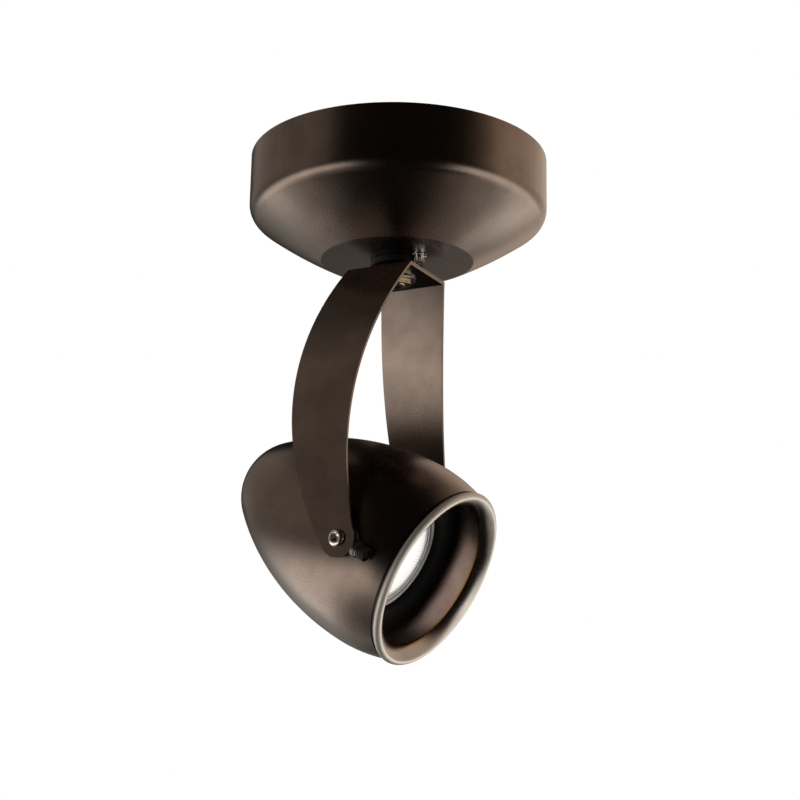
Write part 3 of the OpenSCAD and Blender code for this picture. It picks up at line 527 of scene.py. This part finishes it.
# Tilt lock screw: knurled black cap with a dished end and a hexagon socket, on a threaded shank
cap = turned([(0, -3.1), (1.05, -3.1), (1.3, -2.85), (1.3, 0), (2.55, 0), (2.8, 0.25), (2.8, 2.9),
              (2.5, 3.2), (2.0, 3.2), (1.7, 2.95), (1.25, 2.95, "hex"), (1.25, 1.4, "hex"), (0, 1.4)])
knurl = grown(black_ribs, at(0, 0, LOCK_H / 2 + 0.02), Count=22, Ring=2.8 * MM, Root=0.36 * MM,
              Tip=0.36 * MM, Length=2.7 * MM)
shank = grown(black_thread, at(0, 0, -2.9), Turns=4.6, Radius=1.28 * MM, Height=2.6 * MM, Ridge=0.18 * MM)
lock_cap = finish_mesh("tilt_lock_cap", placed(put_together([cap, knurl, shank]), on_head(LOCK_S, LOCK_Y)),
                       "tilt_lock", black_metal)
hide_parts("tilt_lock_screw")
lock_ring = turned([(1.45, 0.02), (3.05, 0.02), (3.2, 0.1), (3.2, 0.2), (3.05, 0.24), (1.45, 0.24)],
                   closed=True)
finish_mesh("tilt_lock_washer", placed(lock_ring, on_head(LOCK_S, LOCK_Y)), "tilt_lock", bright_steel)

# Pivot screws: low button heads with a rolled edge and a wide hexagon socket
ARM_OUTSIDE = 49.45
buttons = []
for side in (-1, 1):
    button = turned([(0, -10.75), (1.7, -10.75), (2.0, -10.45), (2.0, -3.8), (2.45, -3.75), (2.5, -3.7),
                     (2.5, 0), (3.6, 0), (3.8, 0.2), (3.8, 0.5), (3.62, 0.92), (3.25, 1.25), (2.75, 1.48),
                     (2.25, 1.58), (1.98, 1.52), (1.78, 1.36, "hex"), (1.72, -0.7, "hex"), (0, -1.3)])
    coil = grown(steel_thread, at(0, 0, -10.6), Turns=9.5, Radius=1.98 * MM, Height=6.6 * MM,
                 Ridge=0.2 * MM)
    outwards = Matrix.Rotation(math.radians(-90 * side), 4, "X")
    outwards @= Matrix.Translation((0, 0, ARM_OUTSIDE * MM))
    buttons.append(placed(put_together([button, coil]), TILTED @ outwards))
pivot_buttons = finish_mesh("pivot_buttons", put_together(buttons), "head", bright_steel)
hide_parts("pivot_screws")

# Stop screw: cap head with knurled side and hexagon socket, over a toothed washer
STOP_TURN = math.radians(-20)
STOP_R = 15
FACE_Z = -48.9
stop_place = at(STOP_R * math.cos(STOP_TURN), STOP_R * math.sin(STOP_TURN), FACE_Z, flip=True)
stop_head = turned([(0, -4.6), (1.2, -4.6), (1.45, -4.3), (1.45, 0), (2.9, 0), (2.9, 0.45), (2.1, 0.55),
                    (2.3, 0.8), (2.3, 3.1), (2.0, 3.4), (1.6, 3.4), (1.3, 3.2, "hex"),
                    (1.3, 1.6, "hex"), (0, 1.4)], segments=36)
stop_ribs = grown(steel_ribs, at(0, 0, 2.0), Count=18, Ring=2.28 * MM, Root=0.24 * MM, Tip=0.24 * MM,
                  Length=2.1 * MM)
stop_teeth = grown(steel_ribs, at(0, 0, 0.28), Count=12, Ring=2.95 * MM, Root=0.4 * MM, Tip=0.22 * MM,
                   Length=0.9 * MM, Lean=math.radians(90))
stop_coil = grown(steel_thread, at(0, 0, -4.4), Turns=6.5, Radius=1.42 * MM, Height=4.2 * MM,
                  Ridge=0.15 * MM)
stop_cap = finish_mesh("stop_cap_screw",
                       placed(put_together([stop_head, stop_ribs, stop_teeth, stop_coil]), stop_place),
                       "canopy", bright_steel)
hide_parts("stop_screw")

# Spring washer with three waves, which keeps the yoke from turning by itself
WAVE = 0.12
waves = turned([(4.1, 0), (8.9, 0), (8.9, 0.36), (4.1, 0.36)], segments=96, closed=True)
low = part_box("spring_washer")[0]
for corner in waves.vertices:
    corner.co.z += WAVE * MM * (1 + math.cos(3 * math.atan2(corner.co.y, corner.co.x)))
wave_ring = finish_mesh("spring_washer_wavy", placed(waves, Matrix.Translation((0, 0, low.z))), "canopy",
                        zinc_steel)
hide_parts("spring_washer")

# Stem with its thread, at one turn to the millimetre
low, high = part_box("swivel_stem")
stem_h = (high.z - low.z) / MM
tube = turned([(2.8, 0), (3.5, 0), (3.82, 0.3), (3.82, stem_h - 0.3), (3.5, stem_h), (2.8, stem_h)],
              closed=True)
coil = grown(brass_thread, at(0, 0, 0.35), Turns=stem_h - 0.7, Radius=3.8 * MM,
             Height=(stem_h - 0.7) * MM, Ridge=0.2 * MM)
stem = finish_mesh("swivel_stem_threaded",
                   placed(put_together([tube, coil]), Matrix.Translation((0, 0, low.z))),
                   "canopy", brass)
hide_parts("swivel_stem")

# Front glass of the lamp: flat disc with pressed rays, a pressed ring in the middle and one at the rim
glass = turned([(0, -0.8), (LENS_R - 0.15, -0.8), (LENS_R, -0.65), (LENS_R, -0.12), (LENS_R - 0.3, 0),
                (LENS_R - 1.0, 0), (LENS_R - 1.2, -0.14), (LENS_R - 1.5, -0.14), (LENS_R - 1.7, 0),
                (8.2, 0), (8.0, -0.1), (7.6, -0.1), (7.4, 0), (0, 0)], segments=96)
rays = grown(lens_ribs, at(0, 0, -0.16), Count=LENS_RAYS, Ring=15 * MM, Root=0.14 * MM, Tip=0.42 * MM,
             Length=13 * MM, Lean=math.radians(90))
lens = finish_mesh("lamp_front_glass", placed(put_together([glass, rays]), on_head(LENS_S)),
                   "head", lit_lens)
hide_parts("lamp_lens")

# Clip ring in front of the lamp: two rolled beads with a groove between them, and a serrated skirt
low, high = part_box("lamp_clip_ring")
SKIRT_IN = 24.1
skirt_out = (high.y - low.y) / 2 / MM
beads = turned([(21.6, 3.1), (21.5, 3.5), (21.75, 3.85), (22.2, 3.95), (22.5, 3.75), (22.65, 3.35),
                (22.9, 3.35), (23.05, 3.85), (23.4, 4.2), (23.8, 4.2), (24.05, 3.9), (SKIRT_IN, 3.5),
                (skirt_out, 4.1), (skirt_out, 3.4), (23.5, 3.1)], segments=96, closed=True)
serrations = grown(steel_ribs, at(0, 0, 3.8), Count=72, Ring=(SKIRT_IN + skirt_out) / 2 * MM,
                   Root=0.25 * MM, Tip=0.25 * MM, Length=(skirt_out - SKIRT_IN) * MM, Lean=math.radians(90))
clip = finish_mesh("lamp_clip_beads", placed(put_together([beads, serrations]), on_head(0)),
                   "head", spun_aluminium)
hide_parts("lamp_clip_ring")

# Transformer case with cooling ribs on both long sides
RIBS = 14
RIB_PITCH = 4
eased("transformer", 0.8)
low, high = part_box("transformer")
sides = []
for y in (low.y + 0.1 * MM, high.y - 0.1 * MM):
    first_rib = Matrix.Translation((-(RIBS - 1) / 2 * RIB_PITCH * MM, y, (low.z + high.z) / 2))
    sides.append(grown(case_ribs, first_rib, Count=RIBS, Pitch=RIB_PITCH * MM,
                       Size=(1.4 * MM, 0.9 * MM, (high.z - low.z) - 6 * MM)))
finish_mesh("transformer_ribs", put_together(sides), "canopy", black_plastic)

# Bent, turned and moulded parts, and how far their edges are eased, in mm
EASED = {
    "yoke_strap": 0.68, "hub_collar": 0.35, "tilt_lock_lug": 0.35, "ceiling_plate": 0.3,
    "terminal_block": 0.5, "transformer_shelf": 0.3, "lamp_socket": 0.6, "socket_bracket": 0.3,
    "swivel_nut": 0.25, "stem_lock_nut": 0.35, "plate_nuts": 0.35, "pivot_washers": 0.15,
    "cord_grommet": 0.4, "lamp_base": 0.5, "stop_stud": 0.25, "bracket_rivets": 0.25,
}
for node, width in EASED.items():
    eased(node, width)


# Studio: pale floor far below, white background, low soft boxes left and right, and a tent for reflections.
# Lengths here are in metres, and CAMERA_SIDE is the camera's angle round Z
AIM = Vector((0, 0, -0.12))
CAMERA_SIDE = math.radians(-62.06)
FLOOR_Z = -1.25
FLOOR_R = 4.0
FLOOR_LIFT = 0.36
FILL = 0.6
TENT_R = 3.5
TENT_GLOW = 0.016


def staged(name, mesh):
    """Puts a mesh in the studio."""
    made = bpy.data.objects.new(name, mesh)
    bpy.context.scene.collection.objects.link(made)
    return made


def seen_directly(tree):
    """1 for rays from the camera, off polished surfaces and through glass, and 0 for all others."""
    path = add(tree, "ShaderNodeLightPath")
    seen = add(tree, "ShaderNodeMath", {0: path.outputs["Is Camera Ray"], 1: path.outputs["Is Glossy Ray"]},
               operation="MAXIMUM")
    return add(tree, "ShaderNodeMath", {0: seen.outputs["Value"], 1: path.outputs["Is Transmission Ray"]},
               operation="MAXIMUM").outputs["Value"]


# Floor, lifted towards the white behind it only where it is looked at, so that it keeps its shadow
edge = [math.radians(a) for a in range(0, 360, 5)]
floor_mesh = bpy.data.meshes.new("floor")
floor_mesh.from_pydata([Vector((FLOOR_R * math.cos(a), FLOOR_R * math.sin(a), FLOOR_Z)) for a in edge], [],
                       [range(len(edge))])
floor = staged("floor", floor_mesh)
floor_mat, floor_tree, floor_shader, _ = start("pale_floor")
floor_shader.inputs["Base Color"].default_value = linear("#f2f1ef")
floor_shader.inputs["Roughness"].default_value = 0.9
floor_shader.inputs["Emission Color"].default_value = linear("#ffffff")
lift = add(floor_tree, "ShaderNodeMath", {0: seen_directly(floor_tree), 1: FLOOR_LIFT},
           operation="MULTIPLY")
floor_tree.links.new(lift.outputs["Value"], floor_shader.inputs["Emission Strength"])
floor_mesh.materials.append(floor_mat)
floor.visible_glossy = False

# World: white where it is looked at, and a weaker fill for everything else
world = bpy.data.worlds.new("studio")
bpy.context.scene.world = world
world.use_nodes = True
sky = world.node_tree
sky.nodes.clear()
white = add(sky, "ShaderNodeBackground", {"Color": linear("#ffffff"), "Strength": 1.0})
fill = add(sky, "ShaderNodeBackground", {"Color": linear("#fbfaf8"), "Strength": FILL})
both = add(sky, "ShaderNodeMixShader",
           {0: seen_directly(sky), 1: fill.outputs["Background"], 2: white.outputs["Background"]})
add(sky, "ShaderNodeOutputWorld", {"Surface": both.outputs["Shader"]})


def soft_box(name, turn, rise, distance, width, height, glow):
    """Area light whose face shines at the given level. It stands at an angle round from the camera's side
    and at a height angle, in degrees, and is aimed at the lamp."""
    data = bpy.data.lights.new(name, "AREA")
    data.shape = "RECTANGLE"
    data.size = width
    data.size_y = height
    data.energy = glow * math.pi * width * height
    data.color = linear("#fff6ee")[:3]
    made = bpy.data.objects.new(name, data)
    bpy.context.scene.collection.objects.link(made)
    a, e = CAMERA_SIDE + math.radians(turn), math.radians(rise)
    way = Vector((math.cos(a) * math.cos(e), math.sin(a) * math.cos(e), math.sin(e)))
    made.location = AIM + distance * way
    made.rotation_mode = "QUATERNION"
    made.rotation_quaternion = (made.location - AIM).to_track_quat("Z", "Y")
    made.visible_camera = False
    made.visible_glossy = False


soft_box("soft_box_left", turn=-93, rise=-28, distance=1.1, width=2.0, height=0.7, glow=1.6)
soft_box("soft_box_right", turn=100, rise=-28, distance=1.1, width=2.0, height=0.8, glow=1.5)

# Cards in the tent: whether the angle round counts from the camera's side or from behind, colour, level,
# and in degrees the angle round, half the width, the height angle, half the height and the soft edge
CARDS = (
    ("turn", "#fffaf4", 1.9, -88, 50, -27, 12, 10),
    ("turn", "#fffaf4", 0.6, -103, 56, -34, 24, 14),
    ("turn", "#fffaf4", 2.1, 97, 50, -28, 15, 10),
    ("turn", "#f2e4d6", 0.42, -100, 48, 24, 26, 9),
    ("turn", "#f6dcc6", 1.0, 120, 48, 18, 36, 19),
    ("turn", "#fff4ea", 0.55, 112, 36, -56, 13, 11),
    ("behind", "#fff4ea", 0.17, 0, 24, -14, 14, 8),
    ("turn", "#f6dcc6", 0.5, 0, 190, 90, 9, 6),
)


def tent():
    """Dark studio tent that only reflections see, with a soft-edged pale card for each row of the list."""
    mesh = bpy.data.meshes.new("studio_tent")
    shape = bmesh.new()
    bmesh.ops.create_uvsphere(shape, u_segments=48, v_segments=24, radius=TENT_R)
    shape.to_mesh(mesh)
    shape.free()
    made = staged("studio_tent", mesh)
    mat = bpy.data.materials.new("studio_tent")
    mat.use_nodes = True
    tree = mat.node_tree
    tree.nodes.clear()
    spot = add(tree, "ShaderNodeTexCoord").outputs["Object"]
    way = add(tree, "ShaderNodeVectorMath", {0: spot}, operation="NORMALIZE").outputs["Vector"]

    def along(direction):
        """How far the way from the tent's middle goes along a level direction."""
        return add(tree, "ShaderNodeVectorMath", {0: way, 1: direction},
                   operation="DOT_PRODUCT").outputs["Value"]

    front = along((math.cos(CAMERA_SIDE), math.sin(CAMERA_SIDE), 0.0))
    right = along((-math.sin(CAMERA_SIDE), math.cos(CAMERA_SIDE), 0.0))
    rear = add(tree, "ShaderNodeMath", {0: front, 1: -1.0}, operation="MULTIPLY").outputs["Value"]
    up = add(tree, "ShaderNodeSeparateXYZ", {"Vector": way}).outputs["Z"]
    angles = {
        "turn": add(tree, "ShaderNodeMath", {0: right, 1: front}, operation="ARCTAN2").outputs["Value"],
        "behind": add(tree, "ShaderNodeMath", {0: right, 1: rear}, operation="ARCTAN2").outputs["Value"],
    }
    rise = add(tree, "ShaderNodeMath", {0: up}, operation="ARCSINE").outputs["Value"]

    def within(angle, middle, half, soft):
        """1 within half a card's width of its middle, falling softly to 0 outside."""
        off = add(tree, "ShaderNodeMath", {0: angle, 1: math.radians(middle)}, operation="SUBTRACT")
        off = add(tree, "ShaderNodeMath", {0: off.outputs["Value"]}, operation="ABSOLUTE")
        return add(tree, "ShaderNodeMapRange",
                   {"Value": off.outputs["Value"], "From Min": math.radians(half - soft),
                    "From Max": math.radians(half + soft), "To Min": 1.0, "To Max": 0.0},
                   interpolation_type="SMOOTHSTEP").outputs["Result"]

    glow = add(tree, "ShaderNodeEmission", {"Color": linear("#f6dcc6"), "Strength": TENT_GLOW})
    glow = glow.outputs["Emission"]
    for counted, colour, level, middle, half, height, half_height, soft in CARDS:
        wide = within(angles[counted], middle, half, soft)
        tall = within(rise, height, half_height, soft)
        area = add(tree, "ShaderNodeMath", {0: wide, 1: tall}, operation="MULTIPLY")
        lit = add(tree, "ShaderNodeMath", {0: area.outputs["Value"], 1: level}, operation="MULTIPLY")
        card = add(tree, "ShaderNodeEmission", {"Color": linear(colour), "Strength": lit.outputs["Value"]})
        glow = add(tree, "ShaderNodeAddShader", {0: glow, 1: card.outputs["Emission"]}).outputs["Shader"]
    add(tree, "ShaderNodeOutputMaterial", {"Surface": glow})
    mesh.materials.append(mat)
    for kind in ("camera", "diffuse", "transmission", "volume_scatter", "shadow"):
        setattr(made, "visible_" + kind, False)


tent()
